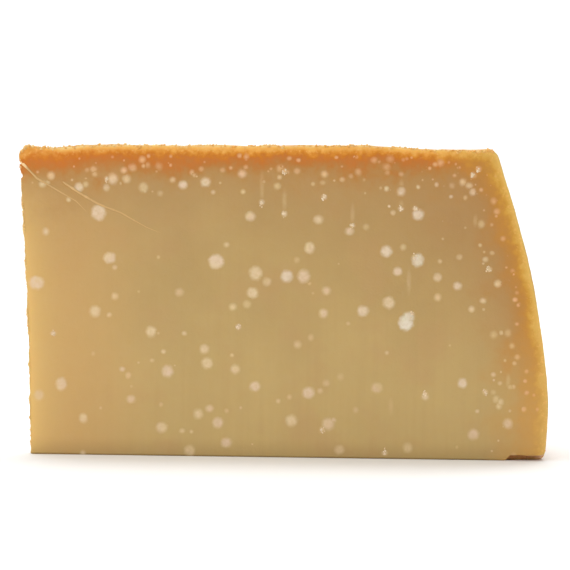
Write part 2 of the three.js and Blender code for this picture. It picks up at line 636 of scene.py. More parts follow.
    def corner_fields(self, points: Array, quads: Numbers, block: int = 8192) -> dict[Field, Array]:
        """Gives every face the nest that covers it most, and its corners their way from that nest's centre.

        A nest's cover is half at a share of its radius and runs out over its own softness. The way is
        measured in the nest's radii, and upwards in its height, so that the nest is an ellipse.

        Args:
            points: The skin's points in the wheel's frame.
            quads: The corners of each face.
            block: How many faces are compared at once.

        Returns:
            The values of each field, corner by corner.
        """
        draw = np.random.default_rng(self.seed)
        nests = np.concatenate([self.shown(), self.large(draw), self.specks(draw)])
        size, pale = nests[:, 3], nests[:, 4]
        tall = nests[:, 5] * draw.uniform(*self.tallness, len(nests))
        half_axes = np.stack([size, size, size * tall], axis=1)
        soft = np.clip(self.soft_edge / size, *self.softness) * draw.uniform(*self.soft_spread, len(nests))
        white = self.white(pale, draw)
        middles = points[quads].mean(axis=1)
        choices = []
        for start in range(0, len(middles), block):
            ways = (middles[start : start + block, None] - nests[:, :3]) / half_axes
            cover = NEST_HALF_WAY + soft - np.linalg.norm(ways, axis=2)
            choices.append((np.where(cover > 0, pale, 1) * cover / soft).argmax(axis=1))
        choice = np.repeat(np.concatenate(choices), 4)
        return {
            Field.NEST_WAY: (points[quads.ravel()] - nests[choice, :3]) / half_axes[choice],
            Field.NEST_SOFT: soft[choice],
            Field.NEST_PALE: pale[choice],
            Field.NEST_WHITE: white[choice],
        }


class Bench:
    """Lays out the nodes of one material."""

    def __init__(self, name: str) -> None:
        """Starts a material with one principled shader and its output.

        Args:
            name: The material's name.
        """
        self.material = bpy.data.materials.new(name)
        self.material.use_nodes = True
        self.tree = self.material.node_tree
        self.tree.nodes.clear()
        self.shader = self.node("ShaderNodeBsdfPrincipled")
        out = self.node("ShaderNodeOutputMaterial")
        self.tree.links.new(self.shader.outputs["BSDF"], out.inputs["Surface"])
        self.place = self.node("ShaderNodeTexCoord").outputs["Object"]

    def node(self, kind: str, **settings: object) -> bpy.types.Node:
        """Adds a node of a kind and sets its properties.

        Args:
            kind: Blender's name of the node's type.
            settings: Properties of the node, by name.

        Returns:
            The node.
        """
        made = self.tree.nodes.new(kind)
        for key, value in settings.items():
            setattr(made, key, value)
        return made

    def feed(self, socket: Socket, value: Value) -> None:
        """Links a socket into another, or sets it to a constant.

        Args:
            socket: The socket that is fed.
            value: The socket linked into it, or its constant.
        """
        if isinstance(value, bpy.types.NodeSocket):
            self.tree.links.new(value, socket)
        else:
            socket.default_value = value

    def field(self, name: Field, output: str = "Fac") -> Socket:
        """Reads one of the mesh's own attributes."""
        return self.node("ShaderNodeAttribute", attribute_name=name.value).outputs[output]

    def join(self, operation: str, first: Value, second: Value = 0.0) -> Socket:
        """Joins two numbers by a math operation such as ADD or MULTIPLY.

        Args:
            operation: Blender's name of the operation.
            first: A socket or a number.
            second: A socket or a number.

        Returns:
            The result's socket.
        """
        made = self.node("ShaderNodeMath", operation=operation)
        self.feed(made.inputs[0], first)
        self.feed(made.inputs[1], second)
        return made.outputs[0]

    def times(self, *factors: Value) -> Socket:
        """Multiplies any number of sockets and numbers.

        Args:
            factors: What is multiplied.

        Returns:
            The result's socket.
        """
        product_so_far = factors[0]
        for factor in factors[1:]:
            product_so_far = self.join("MULTIPLY", product_so_far, factor)
        return product_so_far

    def span(self, value: Socket, low: Value, high: Value, start: Value = 0.0, end: Value = 1.0) -> Socket:
        """Maps a span of a number smoothly onto another span.

        Args:
            value: The number.
            low: Where the span starts.
            high: Where the span ends.
            start: The result at low.
            end: The result at high.

        Returns:
            The result's socket.
        """
        made = self.node("ShaderNodeMapRange", interpolation_type="SMOOTHSTEP")
        for socket, number in zip(made.inputs[:5], (value, low, high, start, end)):
            self.feed(socket, number)
        return made.outputs[0]

    def mix(self, share: Value, first: Value, second: Value) -> Socket:
        """Mixes two colours.

        Args:
            share: How much of the second colour shows.
            first: A colour or its socket.
            second: A colour or its socket.

        Returns:
            The mixed colour's socket.
        """
        made = self.node("ShaderNodeMix", data_type="RGBA")
        self.feed(made.inputs[0], share)
        self.feed(made.inputs[6], first)
        self.feed(made.inputs[7], second)
        return made.outputs[2]

    def noise(self, size: float, detail: float = 2.0, stretch: float = 1.0) -> Socket:
        """Reads noise from 0 to 1.

        Args:
            size: Size of its lumps in millimetres.
            detail: How many finer layers it has.
            stretch: How many times taller than wide its lumps are.

        Returns:
            The noise's socket.
        """
        place = self.place
        if stretch != 1.0:
            squeeze = self.node("ShaderNodeMapping")
            squeeze.inputs["Scale"].default_value = (1, 1, 1 / stretch)
            self.feed(squeeze.inputs["Vector"], place)
            place = squeeze.outputs["Vector"]
        made = self.node("ShaderNodeTexNoise")
        self.feed(made.inputs["Vector"], place)
        self.feed(made.inputs["Scale"], 1 / (size * MM))
        self.feed(made.inputs["Detail"], detail)
        return made.outputs["Fac"]

    def specks(self, size: float, largest: float, share: Value) -> Socket:
        """Scatters round specks, one at most in each cell of a random lattice.

        A cell holds a speck if its own draw is under the share, and another draw sets the speck's radius.

        Args:
            size: Width of a cell in millimetres.
            largest: Largest radius of a speck in millimetres.
            share: Share of the cells that hold a speck.

        Returns:
            1 inside a speck and 0 outside, soft at its edge.
        """
        cells = self.node("ShaderNodeTexVoronoi")
        self.feed(cells.inputs["Vector"], self.place)
        self.feed(cells.inputs["Scale"], 1 / (size * MM))
        draws = self.node("ShaderNodeSeparateColor")
        self.feed(draws.inputs[0], cells.outputs["Color"])
        radius = self.join("MULTIPLY_ADD", draws.outputs[0], 0.6 * largest / size)
        radius.node.inputs[2].default_value = 0.4 * largest / size
        inside = self.join("SUBTRACT", radius, cells.outputs["Distance"])
        disc = self.span(inside, -0.1 / size, 0.35 / size)
        return self.times(disc, self.join("LESS_THAN", draws.outputs[1], share))

    def ramp(self, value: Socket, reach: float, stops: Stops) -> tuple[Socket, Socket]:
        """Reads a colour and a cover from a row of stops.

        Args:
            value: The number that runs along the stops.
            reach: The number at the ramp's far end.
            stops: Place, screen colour and cover of each stop, by rising place.

        Returns:
            The sockets of the colour and of the cover.
        """
        made = self.node("ShaderNodeValToRGB")
        self.feed(made.inputs[0], self.join("DIVIDE", value, reach))
        elements = made.color_ramp.elements
        while len(elements) < len(stops):
            elements.new(1.0)
        for element, (at, tint, cover) in zip(elements, stops):
            element.position = at / reach
            element.color = (*linear(tint)[:3], cover)
        return made.outputs["Color"], made.outputs["Alpha"]

    def bump(self, height: Socket) -> None:
        """Bumps the shader's normal.

        Args:
            height: The height in metres.
        """
        made = self.node("ShaderNodeBump")
        made.inputs["Distance"].default_value = 1.0
        self.feed(made.inputs["Height"], height)
        self.feed(self.shader.inputs["Normal"], made.outputs["Normal"])

    def glow(self, weight: float, depth: float, colour: tuple[float, float, float]) -> None:
        """Lets light into the surface.

        Args:
            weight: Share of the light that goes in.
            depth: How deep it goes, in millimetres.
            colour: How far each colour goes, as a share of the depth.
        """
        self.shader.inputs["Subsurface Weight"].default_value = weight
        self.shader.inputs["Subsurface Scale"].default_value = depth * MM
        self.shader.inputs["Subsurface Radius"].default_value = colour


@dataclass(frozen=True)
class CheeseFinish:
    """Paste that darkens and browns towards an amber rind, dotted with pale nests and specks."""

    paste: Tint = (190, 160, 101)
    paste_shade: Tint = (181, 151, 95)
    paste_blush: Tint = (190, 153, 100)
    paste_painted_light_low: Tint = (199, 170, 110)
    paste_warm: Tint = (200, 160, 99)
    painted_tip_glow: Tint = (227, 188, 112)
    dry_paste: Tint = (174, 132, 78)
    dry_corner: Tint = (166, 110, 54)
    foot: Tint = (150, 120, 70)
    painted_contact_shadow: Tint = (108, 84, 42)
    nest_stops: Stops = (
        (0.0, (219, 186, 139), 1.0),
        (0.35, (218, 189, 152), 1.0),
        (0.7, (221, 195, 163), 1.0),
        (0.9, (221, 200, 171), 1.0),
        (1.0, (226, 214, 192), 1.0),
    )
    nest_straw: Tint = (221, 198, 147)
    nest_warm: Tint = (225, 168, 114)
    broken_paste: Tint = (214, 170, 98)
    broken_light: Tint = (236, 204, 142)
    chip_brown: Tint = (178, 116, 64)
    chip_rind: Tint = (230, 180, 138)
    outside_gold: Tint = (212, 160, 84)
    outside_dark: Tint = (188, 130, 62)
    outside_scuff: Tint = (226, 186, 122)
    rind_grain: Tint = (240, 190, 108)
    rind_vivid: Tint = (206, 112, 8)
    painted_heel_foot_light: Tint = (228, 182, 94)
    rind_reach: float = 24.0
    # The palest stops, at the rim, are partly the rind's own edge and partly a painted highlight where light
    # catches the rounded rim.
    under_top: Stops = (
        (0.0, (242, 216, 154), 1.0),
        (1.0, (238, 182, 88), 1.0),
        (2.7, (213, 137, 32), 1.0),
        (3.8, (200, 120, 18), 1.0),
        (5.0, (194, 114, 36), 1.0),
        (7.0, (187, 119, 47), 0.95),
        (9.5, (182, 128, 62), 0.85),
        (13.0, (182, 137, 76), 0.5),
        (24.0, (183, 150, 97), 0.0),
    )
    # Here too the palest stops are partly the rind's own edge and partly a painted highlight of the lit edge.
    inside_heel: Stops = (
        (0.0, (225, 188, 104), 1.0),
        (1.0, (219, 174, 84), 1.0),
        (2.5, (208, 156, 60), 1.0),
        (3.6, (200, 144, 52), 1.0),
        (5.0, (191, 133, 54), 1.0),
        (9.0, (184, 131, 64), 0.9),
        (12.5, (180, 134, 74), 0.65),
        (24.0, (183, 150, 97), 0.0),
    )
    roughness: tuple[float, float] = (0.46, 0.64)

    def paste_colour(self, bench: Bench) -> Socket:
        """Clouds and streaks the paste, shifts it towards the tip, rind and broken faces, and paints light
        low down and at the tip, shade at the foot.

        Args:
            bench: Where the nodes are laid.

        Returns:
            The colour's socket.
        """
        cloud = bench.span(bench.noise(26.0, 3.0), 0.3, 0.7)
        paste = bench.mix(cloud, linear(self.paste), linear(self.paste_shade))
        height = self.height(bench)
        # Painted light: the paste is lighter lower down, standing in for light that falls off towards the
        # bottom.
        paste = bench.mix(bench.span(height, 70 * MM, 20 * MM, 0.0, 0.6), paste, linear(self.paste_painted_light_low))
        blush = bench.span(bench.noise(15.0, 3.0), 0.48, 0.72, 0.0, 0.5)
        paste = bench.mix(blush, paste, linear(self.paste_blush))
        streak = bench.span(bench.noise(2.6, 2.0, stretch=22.0), 0.35, 0.7, 0.0, 0.16)
        paste = bench.mix(streak, paste, linear(self.paste_shade))
        tip_near = bench.field(Field.TIP_NEAR)
        paste = bench.mix(bench.span(tip_near, 54.0, 12.0, 0.0, 0.85), paste, linear(self.paste_warm))
        # Painted light: the paste glows lighter within a few millimetres of the tip, where light shines
        # through the thin edge.
        tip_glow_share = bench.join("POWER", math.e, bench.times(tip_near, -1 / 5.0))
        paste = bench.mix(tip_glow_share, paste, linear(self.painted_tip_glow))
        dryness = bench.field(Field.DRYNESS)
        paste = bench.mix(bench.span(dryness, 0.05, 1.1, 0.0, 0.85), paste, linear(self.dry_paste))
        paste = bench.mix(bench.span(dryness, 0.85, 1.7, 0.0, 0.7), paste, linear(self.dry_corner))
        upright = bench.join("SUBTRACT", 1.0, bench.field(Field.BASE))
        # Painted shade: the upright faces darken over their lowest 7 mm, where shade gathers by the floor.
        foot = bench.times(bench.span(height, 0.0, 7 * MM, 0.36, 0.0), upright)
        paste = bench.mix(foot, paste, linear(self.foot))
        # Painted shadow: a dark line along the lowest millimetre of the upright faces, where the chunk meets
        # the floor.
        painted_contact_shadow = bench.times(bench.span(height, 0.1 * MM, 0.8 * MM, 0.7, 0.0), upright)
        paste = bench.mix(painted_contact_shadow, paste, linear(self.painted_contact_shadow))
        crags = bench.span(bench.noise(1.3, 3.0), 0.42, 0.7)
        broken = bench.mix(crags, linear(self.broken_paste), linear(self.broken_light))
        return bench.mix(bench.times(bench.field(Field.BROKEN), 0.65), paste, broken)

    @staticmethod
    def height(bench: Bench) -> Socket:
        """Reads the height above the base.

        Args:
            bench: Where the nodes are laid.

        Returns:
            The height in metres.
        """
        parts = bench.node("ShaderNodeSeparateXYZ")
        bench.feed(parts.inputs[0], bench.place)
        return parts.outputs[2]

    def rind_colour(self, bench: Bench, paste: Socket) -> Socket:
        """Lays the rind's depth colours over the paste, paints light on the lower heel, and browns the chip.

        Args:
            bench: Where the nodes are laid.
            paste: The paste's colour.

        Returns:
            The colour's socket.
        """
        depth = bench.field(Field.RIND_DEPTH)
        coarse = bench.span(bench.noise(12.0, 3.0), 0.25, 0.75, 0.72, 1.3)
        fine = bench.span(bench.noise(2.2, 4.0), 0.25, 0.75, -1.1, 1.1)
        ragged = bench.times(fine, bench.span(depth, 0.4, 3.5))
        drifted = bench.join("ADD", bench.times(depth, coarse), ragged)
        top_colour, top_cover = bench.ramp(drifted, self.rind_reach, self.under_top)
        vivid = bench.times(bench.span(bench.field(Field.TIP_NEAR), 60.0, 12.0), bench.span(depth, 0.8, 2.2))
        vivid = bench.times(vivid, bench.span(depth, 12.0, 4.0, 0.0, 0.42))
        top_colour = bench.mix(vivid, top_colour, linear(self.rind_vivid))
        heel_colour, heel_cover = bench.ramp(drifted, self.rind_reach, self.inside_heel)
        height = self.height(bench)
        # Painted light: lower down the heel the rind's colour thins and pales, standing in for light falling
        # on the lower heel.
        heel_cover = bench.times(heel_cover, bench.span(height, 0.0, 60 * MM, 0.72, 1.0))
        heel_foot_light_share = bench.span(height, 60 * MM, 10 * MM, 0.0, 0.3)
        heel_colour = bench.mix(heel_foot_light_share, heel_colour, linear(self.painted_heel_foot_light))
        under_top = bench.field(Field.UNDER_TOP)
        rind = bench.mix(under_top, heel_colour, top_colour)
        cover = bench.mix(under_top, heel_cover, top_cover)
        colour = bench.mix(cover, paste, rind)
        grains = bench.span(bench.noise(0.9, 3.0), 0.52, 0.7, 0.0, 0.5)
        colour = bench.mix(bench.times(grains, bench.span(depth, 4.5, 0.5)), colour, linear(self.rind_grain))
        chip = bench.mix(bench.span(depth, 8.0, 1.0), linear(self.chip_brown), linear(self.chip_rind))
        return bench.mix(bench.times(bench.field(Field.CHIP), 0.9), colour, chip)

    def skin_colour(self, bench: Bench) -> Socket:
        """Clouds the outer rind, and scrapes it lightly round the wheel.

        Args:
            bench: Where the nodes are laid.

        Returns:
            The colour's socket.
        """
        cloud = bench.span(bench.noise(28.0, 4.0), 0.35, 0.7, 0.0, 0.75)
        skin = bench.mix(cloud, linear(self.outside_gold), linear(self.outside_dark))
        scrape = bench.span(bench.noise(16.0, 3.0, stretch=0.05), 0.5, 0.75, 0.0, 0.35)
        skin = bench.mix(scrape, skin, linear(self.outside_scuff))
        stain = bench.span(bench.noise(2.0, 4.0), 0.5, 0.75, 0.0, 0.35)
        return bench.mix(stain, skin, linear(self.outside_dark))

    def nests(self, bench: Bench) -> tuple[Socket, Socket]:
        """Covers each nest from its middle, past its edge by its own softness, and the finest specks between.

        Args:
            bench: Where the nodes are laid.

        Returns:
            The colour of nests and specks, and their cover from 0 to 1.
        """
        away = bench.node("ShaderNodeVectorMath", operation="LENGTH")
        bench.feed(away.inputs[0], bench.field(Field.NEST_WAY, "Vector"))
        fray = bench.span(bench.noise(1.5, 2.0), 0.2, 0.8, -0.1, 0.1)
        gap = bench.join("SUBTRACT", bench.join("ADD", away.outputs["Value"], fray), NEST_HALF_WAY)
        soft = bench.field(Field.NEST_SOFT)
        disc = bench.span(gap, soft, bench.times(soft, -1.0))
        mottle = bench.span(bench.noise(1.1, 3.0), 0.3, 0.7, 0.8, 1.06)
        round_nests = bench.times(disc, bench.field(Field.NEST_PALE), mottle)
        fine = bench.specks(1.9, 0.42, bench.span(bench.field(Field.DRYNESS), 0.45, 1.1, 0.02, 0.42))
        inside = bench.span(bench.field(Field.RIND_DEPTH), 1.5, 4.5)
        skinless = bench.join("SUBTRACT", 1.0, bench.field(Field.OUTSIDE))
        white = bench.field(Field.NEST_WHITE)
        colour, _ = bench.ramp(white, 1.0, self.nest_stops)
        patches = bench.span(bench.noise(11.0, 1.0), 0.45, 0.6)
        straw = bench.times(patches, bench.span(white, 0.95, 0.5, 0.0, 0.6))
        colour = bench.mix(straw, colour, linear(self.nest_straw))
        warm = bench.span(bench.field(Field.RIND_DEPTH), 15.0, 5.0, 0.0, 0.85)
        colour = bench.mix(warm, colour, linear(self.nest_warm))
        cover = bench.join("MAXIMUM", round_nests, bench.times(fine, 0.42))
        return colour, bench.times(cover, inside, skinless)

    def relief(self, bench: Bench, nests: Socket) -> Socket:
        """Adds up fine relief: grain and knife drag of the cuts, pits of the rind, crumble, proud nests.

        Args:
            bench: Where the nodes are laid.
            nests: Cover of the pale nests.

        Returns:
            The height in metres.
        """
        grain = bench.times(bench.noise(0.9, 3.0), 0.09 * MM)
        drag = bench.times(bench.noise(0.8, 2.0, stretch=30.0), 0.03 * MM)
        scraped = bench.times(bench.noise(16.0, 3.0, stretch=0.05), 0.5)
        rough = bench.join("ADD", bench.noise(1.8, 4.0), scraped)
        pits = bench.times(rough, bench.field(Field.OUTSIDE), 0.4 * MM)
        crumble = bench.times(bench.noise(1.0, 5.0), bench.field(Field.BROKEN), 0.7 * MM)
        proud = bench.times(nests, 0.08 * MM)
        height = bench.join("ADD", bench.join("ADD", grain, drag), bench.join("ADD", pits, crumble))
        return bench.join("ADD", height, proud)

    def material(self) -> bpy.types.Material:
        """Makes the material.

        Returns:
            The material, which reads the chunk's own attributes.
        """
        bench = Bench("cheese_paste_and_rind")
        nest_colour, nest_cover = self.nests(bench)
        colour = self.rind_colour(bench, self.paste_colour(bench))
        colour = bench.mix(bench.field(Field.OUTSIDE), colour, self.skin_colour(bench))
        bench.feed(bench.shader.inputs["Base Color"], bench.mix(nest_cover, colour, nest_colour))
        rough = bench.span(bench.noise(2.4, 2.0), 0.25, 0.75, *self.roughness)
        waxy = bench.span(bench.field(Field.OUTSIDE), 0.0, 1.0, 1.0, 0.75)
        bench.feed(bench.shader.inputs["Roughness"], bench.times(rough, waxy))
        bench.bump(self.relief(bench, nest_cover))
        bench.glow(0.3, 4.0, (1.0, 0.55, 0.25))
        bench.shader.inputs["Specular IOR Level"].default_value = 0.3
        return bench.material


@dataclass(frozen=True)
class GrainFinish:
    """Small bodies on the surface, coloured by their own warmth from a cool to a warm tint."""

    name: str
    cool: Tint
    warm: Tint
    roughness: float
    grain: float = 0.35

    def material(self) -> bpy.types.Material:
        """Mixes the two tints by warmth, and mottles and bumps the result with fine noise.

        Returns:
            The material, which reads the bodies' own warmth.
        """
        bench = Bench(self.name)
        tint = bench.mix(bench.field(Field.WARMTH), linear(self.cool), linear(self.warm))
        mottle = bench.span(bench.noise(self.grain, 2.0), 0.25, 0.75, 0.0, 0.35)
        bench.feed(bench.shader.inputs["Base Color"], bench.mix(mottle, tint, linear(self.warm)))
        bench.shader.inputs["Roughness"].default_value = self.roughness
        bench.bump(bench.times(bench.noise(self.grain, 2.0), 0.06 * MM))
        bench.shader.inputs["Specular IOR Level"].default_value = 0.2
        return bench.material


@dataclass
class Chunk:
    """The chunk's dense skin: the solid's form with rounded edges, nicked rim, broken tip and chip.

    A pair of numbers, such as rind_tilt, is the span over which a share rises or falls.
    """

    wheel: Wheel
    nests: Nests
    finish: CheeseFinish
    steps: tuple[int, int, int] = (204, 60, 130)
    crowding: float = 0.55
    round_tip_base: float = 0.8
    round_tip_top: float = 5.5
    round_heel_base: float = 2.0
    round_heel_top: float = 3.0
    worn_edge: float = 0.5
    worn_spread: float = 0.5
    worn_limits: tuple[float, float] = (-0.8, 1.6)
    worn_wave: float = 3.2
    worn_at_base: float = 0.3
    base_edge: float = 1.0
    usual_width: float = 40.0
    chip_length: float = 15.0
    chip_depth_inside: float = 2.5
    chip_depth_at_rind: float = 5.0
    chip_height: float = 1.9
    chip_slope: float = 2.0
    chip_fade: float = 14.0
    chip_edge: tuple[float, float] = (0.15, 0.6)
    base_margin: float = 3.0
    rim_nicks: tuple[Place, ...] = ((1.0, 5.5, 4.0), (0.9, 2.1, 1.8))
    tip_nicks: tuple[tuple[float, float, float, float], ...] = ((103.4, 0.7, 0.6, 0.8), (99.0, 1.2, 1.1, 0.0))
    tip_nick_fading: tuple[float, float] = (0.2, 3.0)
    tip_nick_across: tuple[float, float] = (1.0, 5.0)
    rind_waves: Waves = ((0.35, 17.0), (0.16, 5.2), (0.07, 2.4))
    cut_waves: Waves = ((0.3, 26.0), (0.05, 5.0), (0.025, 2.0))
    crags: Waves = ((1.0, 8.0), (0.6, 3.4), (0.3, 1.6))
    crags_at_cut: float = 0.35
    crags_growth: tuple[float, float] = (0.2, 1.8)
    crags_near_base: float = 0.5
    crags_lowest: float = 0.6
    broken_tip: tuple[float, float] = (0.05, 0.6)
    broken_below_top: tuple[float, float] = (3.0, 6.0)
    rind_tilt: tuple[float, float] = (0.5, 0.9)
    rind_from_cut: tuple[float, float] = (0.1, 0.8)
    rind_at_heel: tuple[float, float] = (0.985, 1.0)
    rind_wrap: float = 3.0
    wrap_reach: float = 9.0
    corner_blend: float = 1.5
    dry_reach_top: float = 34.0
    dry_reach_heel: float = 26.0
    dry_at_foot_painted_light: float = 0.25
    dry_from_height: float = 80.0
    shoulder_span: tuple[float, float] = (-2.0, 24.0)
    uneven: Unevenness = Unevenness(seed=5)
    points: Array = field(init=False)
    normals: Array = field(init=False)
    quads: Numbers = field(init=False)
    shares: Array = field(init=False)

    @staticmethod
    def pull(first: Array, second: Array) -> Array:
        """Finds the share by which a point in a corner square moves towards its centre to land on its arc.

        Args:
            first: How far the point lies inside the square along one side.
            second: How far along the other.

        Returns:
            The share, 0 outside the square.
        """
        inside = (first > 0) & (second > 0)
        reach = np.where(inside, np.hypot(first, second), 1)
        return np.where(inside, 1 - np.maximum(first, second) / reach, 0)

    def round_corners(self, a: Array, c: Array) -> tuple[Array, Array]:
        """Pulls points in the corner squares of the section onto arcs, so its corners are quarter circles.

        Args:
            a: Distance from the tip.
            c: Height in the section.

        Returns:
            Both distances after rounding.
        """
        corners = (
            (0, 0, self.round_tip_base),
            (0, 1, self.round_tip_top),
            (1, 0, self.round_heel_base),
            (1, 1, self.round_heel_top),
        )
        for at_heel, at_top, radius in corners:
            in_a = np.clip(radius - np.abs(a - at_heel * self.wheel.length), 0, None)
            in_c = np.clip(radius - np.abs(c - at_top * self.wheel.half_height), 0, None)
            pull = self.pull(in_a, in_c)
            a = a + (1 - 2 * at_heel) * in_a * pull
            c = c + (1 - 2 * at_top) * in_c * pull
        return a, c

    def wear_edges(self, a: Array, across: Array, c: Array) -> tuple[Array, Array, Array]:
        """Rounds the edges of both cuts by a radius that wavers along them.

        Args:
            a: Distance from the tip.
            across: Share of the way from the front cut to the back cut.
            c: Height in the section.

        Returns:
            The three after rounding.
        """
        wheel = self.wheel
        wander = self.uneven.waves(np.stack([a, self.usual_width * across, c], axis=1), self.worn_wave)
        worn = self.worn_edge + self.worn_spread * np.clip(wander, *self.worn_limits)
        worn = np.where(c < self.base_edge, self.worn_at_base, worn)
        width = (wheel.tip_from_axis + a) * wheel.cut_angle
        for back, (at_heel, at_top) in product((0, 1), ((0, None), (1, None), (None, 0), (None, 1))):
            in_cut = np.clip(worn - np.where(back, 1 - across, across) * width, 0, None)
            if at_top is None:
                in_side = np.clip(worn - np.abs(a - at_heel * wheel.length), 0, None)
                pull = self.pull(in_cut, in_side)
                a = a + (1 - 2 * at_heel) * in_side * pull
            else:
                in_side = np.clip(worn - np.abs(c - at_top * wheel.half_height), 0, None)
                pull = self.pull(in_cut, in_side)
                c = c + (1 - 2 * at_top) * in_side * pull
            across = across + (1 - 2 * back) * in_cut * pull / width
        return a, across, c

    def nick_rim(self, points: Array, shares: Array) -> None:
        """Lowers the rim where the top meets the cuts, by the crests of a long and a short wave.

        A nick is a (height, wavelength, reach).

        Args:
            points: Points in the wheel's frame, changed in place.
            shares: Each point's shares of the unit box.
        """
        width = np.hypot(points[:, 0], points[:, 1]) * self.wheel.cut_angle
        from_cut = np.minimum(shares[:, 1], 1 - shares[:, 1]) * width
        from_top = (1 - shares[:, 2]) * self.wheel.half_height
        away = np.hypot(from_cut, from_top)
        for height, length, reach in self.rim_nicks:
            near = np.clip(1 - away / reach, 0, None)
            points[:, 2] -= height * near * np.clip(self.uneven.waves(points + 31, length), 0, None)

    def break_chip(self, points: Array) -> Array:
        """Lifts the base under the heel's front end: full height at the rind, fading inwards, back and up.

        Args:
            points: Points in the wheel's frame, changed in place.

        Returns:
            How far each point was lifted.
        """
        start = self.wheel.radius - self.chip_length
        inward = np.clip((points[:, 0] - start) / self.chip_length, 0, 1)
        depth = self.chip_depth_inside + inward * (self.chip_depth_at_rind - self.chip_depth_inside)
        share = smooth_step(points[:, 0] - start, 0, self.chip_slope)
        share *= 1 - smooth_step(points[:, 1] - depth, -self.chip_slope, 0)
        lift = self.chip_height * share * np.clip(1 - points[:, 2] / self.chip_fade, 0, None)
        points[:, 2] += lift
        return lift

    def nick_tip(self, points: Array) -> None:
        """Draws the tip in at each nick, by a tent over the height that fades away from the tip's front edge.

        A nick is a (height, depth, half height, slope down into the chunk).

        Args:
            points: Points in the wheel's frame, changed in place.
        """
        for height, depth, half, slope in self.tip_nicks:
            behind = points[:, 0] - self.wheel.tip_distance(points[:, 2])
            tent = np.clip(1 - np.abs(points[:, 2] - height + slope * behind) / half, 0, None)
            near = 1 - smooth_step(behind, *self.tip_nick_fading)
            near *= 1 - smooth_step(points[:, 1], *self.tip_nick_across)
            points[:, 0] += depth * tent * near

    def relief(self, points: Array, outside: Array, broken: Array, from_cut: Array) -> Array:
        """Adds waves of the height and length of each kind of surface, and none on the base.

        A wave is a (height, length). Rind and cuts get plain waves. Broken faces get crags, which are waves
        folded at their zero line, and which grow away from the cuts.

        Args:
            points: Points in the wheel's frame.
            outside: Share of outer rind at each.
            broken: Share of broken surface at each.
            from_cut: Distance from the nearer cut at each.

        Returns:
            How far each point moves along its normal.
        """
        on_cut = np.clip(1 - outside - broken, 0, None)
        height = np.zeros(len(points))
        for share, waves in ((outside, self.rind_waves), (on_cut, self.cut_waves)):
            for size, length in waves:
                height += share * size * self.uneven.waves(points + 7 * length, length)
        craggy = self.crags_at_cut + (1 - self.crags_at_cut) * smooth_step(from_cut, *self.crags_growth)
        for size, length in self.crags:
            folded = 0.5 - 2 * np.abs(self.uneven.waves(points + 7 * length, length))
            height += broken * craggy * size * folded
        lifted = smooth_step(points[:, 2], 0, self.base_margin)
        craggy_foot = self.crags_near_base * broken * (points[:, 2] > self.crags_lowest)
        return np.maximum(lifted, craggy_foot) * height

    def point_fields(self, outside: Array, broken: Array) -> dict[Field, Array]:
        """Works out what the finish needs to know at each point.

        The depth under the rind is the soft least of those under the top and inside the heel, drawn in at the
        tip, where the rind wraps round.

        Args:
            outside: Share of outer rind at each.
            broken: Share of broken surface at each.

        Returns:
            The values of each field.
        """
        top, heel = self.wheel.depths(self.points)
        blend = self.corner_blend
        depth = -blend * np.log(np.exp(-top / blend) + np.exp(-heel / blend))
        from_tip = self.points[:, 0] - self.wheel.tip_distance(self.points[:, 2])
        wrapped = depth - self.rind_wrap * (1 - smooth_step(from_tip, 0, self.wrap_reach))
        depth = np.maximum(wrapped, np.minimum(depth, blend))
        # The paste dries towards the rind; inside the heel the dryness drops towards the foot, so the paste
        # there is lighter: painted light on the lower heel side.
        raised = smooth_step(self.points[:, 2], 0, self.dry_from_height)
        heel_share = self.dry_at_foot_painted_light + (1 - self.dry_at_foot_painted_light) * raised
        dry = np.exp(-top / self.dry_reach_top) + heel_share * np.exp(-heel / self.dry_reach_heel)
        return {
            Field.RIND_DEPTH: np.clip(depth, 0, None),
            Field.UNDER_TOP: smooth_step(heel - top, *self.shoulder_span),
            Field.DRYNESS: dry,
            Field.TIP_NEAR: np.clip(from_tip, 0, None),
            Field.OUTSIDE: outside,
            Field.BROKEN: broken,
        }

    def shape(self) -> tuple[Array, Array, Array]:
        """Bends the divided box into the wheel, wears, nicks and chips it, and moves it by its relief.

        Returns:
            The shares of outer rind, of broken surface and of the chip at each point.
        """
        self.quads, even = BoxShell(self.steps).quads_and_shares()
        self.shares = even + self.crowding * (even * even * (3 - 2 * even) - even)
        along, across, up = self.shares.T
        a, c = self.round_corners(along * self.wheel.length, up * self.wheel.half_height)
        a, across, c = self.wear_edges(a, across, c)
        points = self.wheel.place(a, across, c)
        self.nick_rim(points, self.shares)
        self.nick_tip(points)
        chipped = smooth_step(self.break_chip(points), *self.chip_edge) * (up == 0)
        normals = point_normals(points, self.quads)
        on_tip = 1 - smooth_step(a, *self.broken_tip)
        below_rind = smooth_step(self.wheel.half_height - points[:, 2], *self.broken_below_top)
        broken = np.clip(on_tip * below_rind + chipped, 0, 1)
        width = np.hypot(points[:, 0], points[:, 1]) * self.wheel.cut_angle
        from_cut = np.minimum(across, 1 - across) * width
        on_top, on_heel = smooth_step(normals[:, 2], *self.rind_tilt), smooth_step(along, *self.rind_at_heel)
        outside = np.maximum(on_top, on_heel) * smooth_step(from_cut, *self.rind_from_cut) * (1 - broken)
        points += normals * self.relief(points, outside, broken, from_cut)[:, None]
        self.points = points
        self.normals = point_normals(points, self.quads)
        return outside, broken, chipped

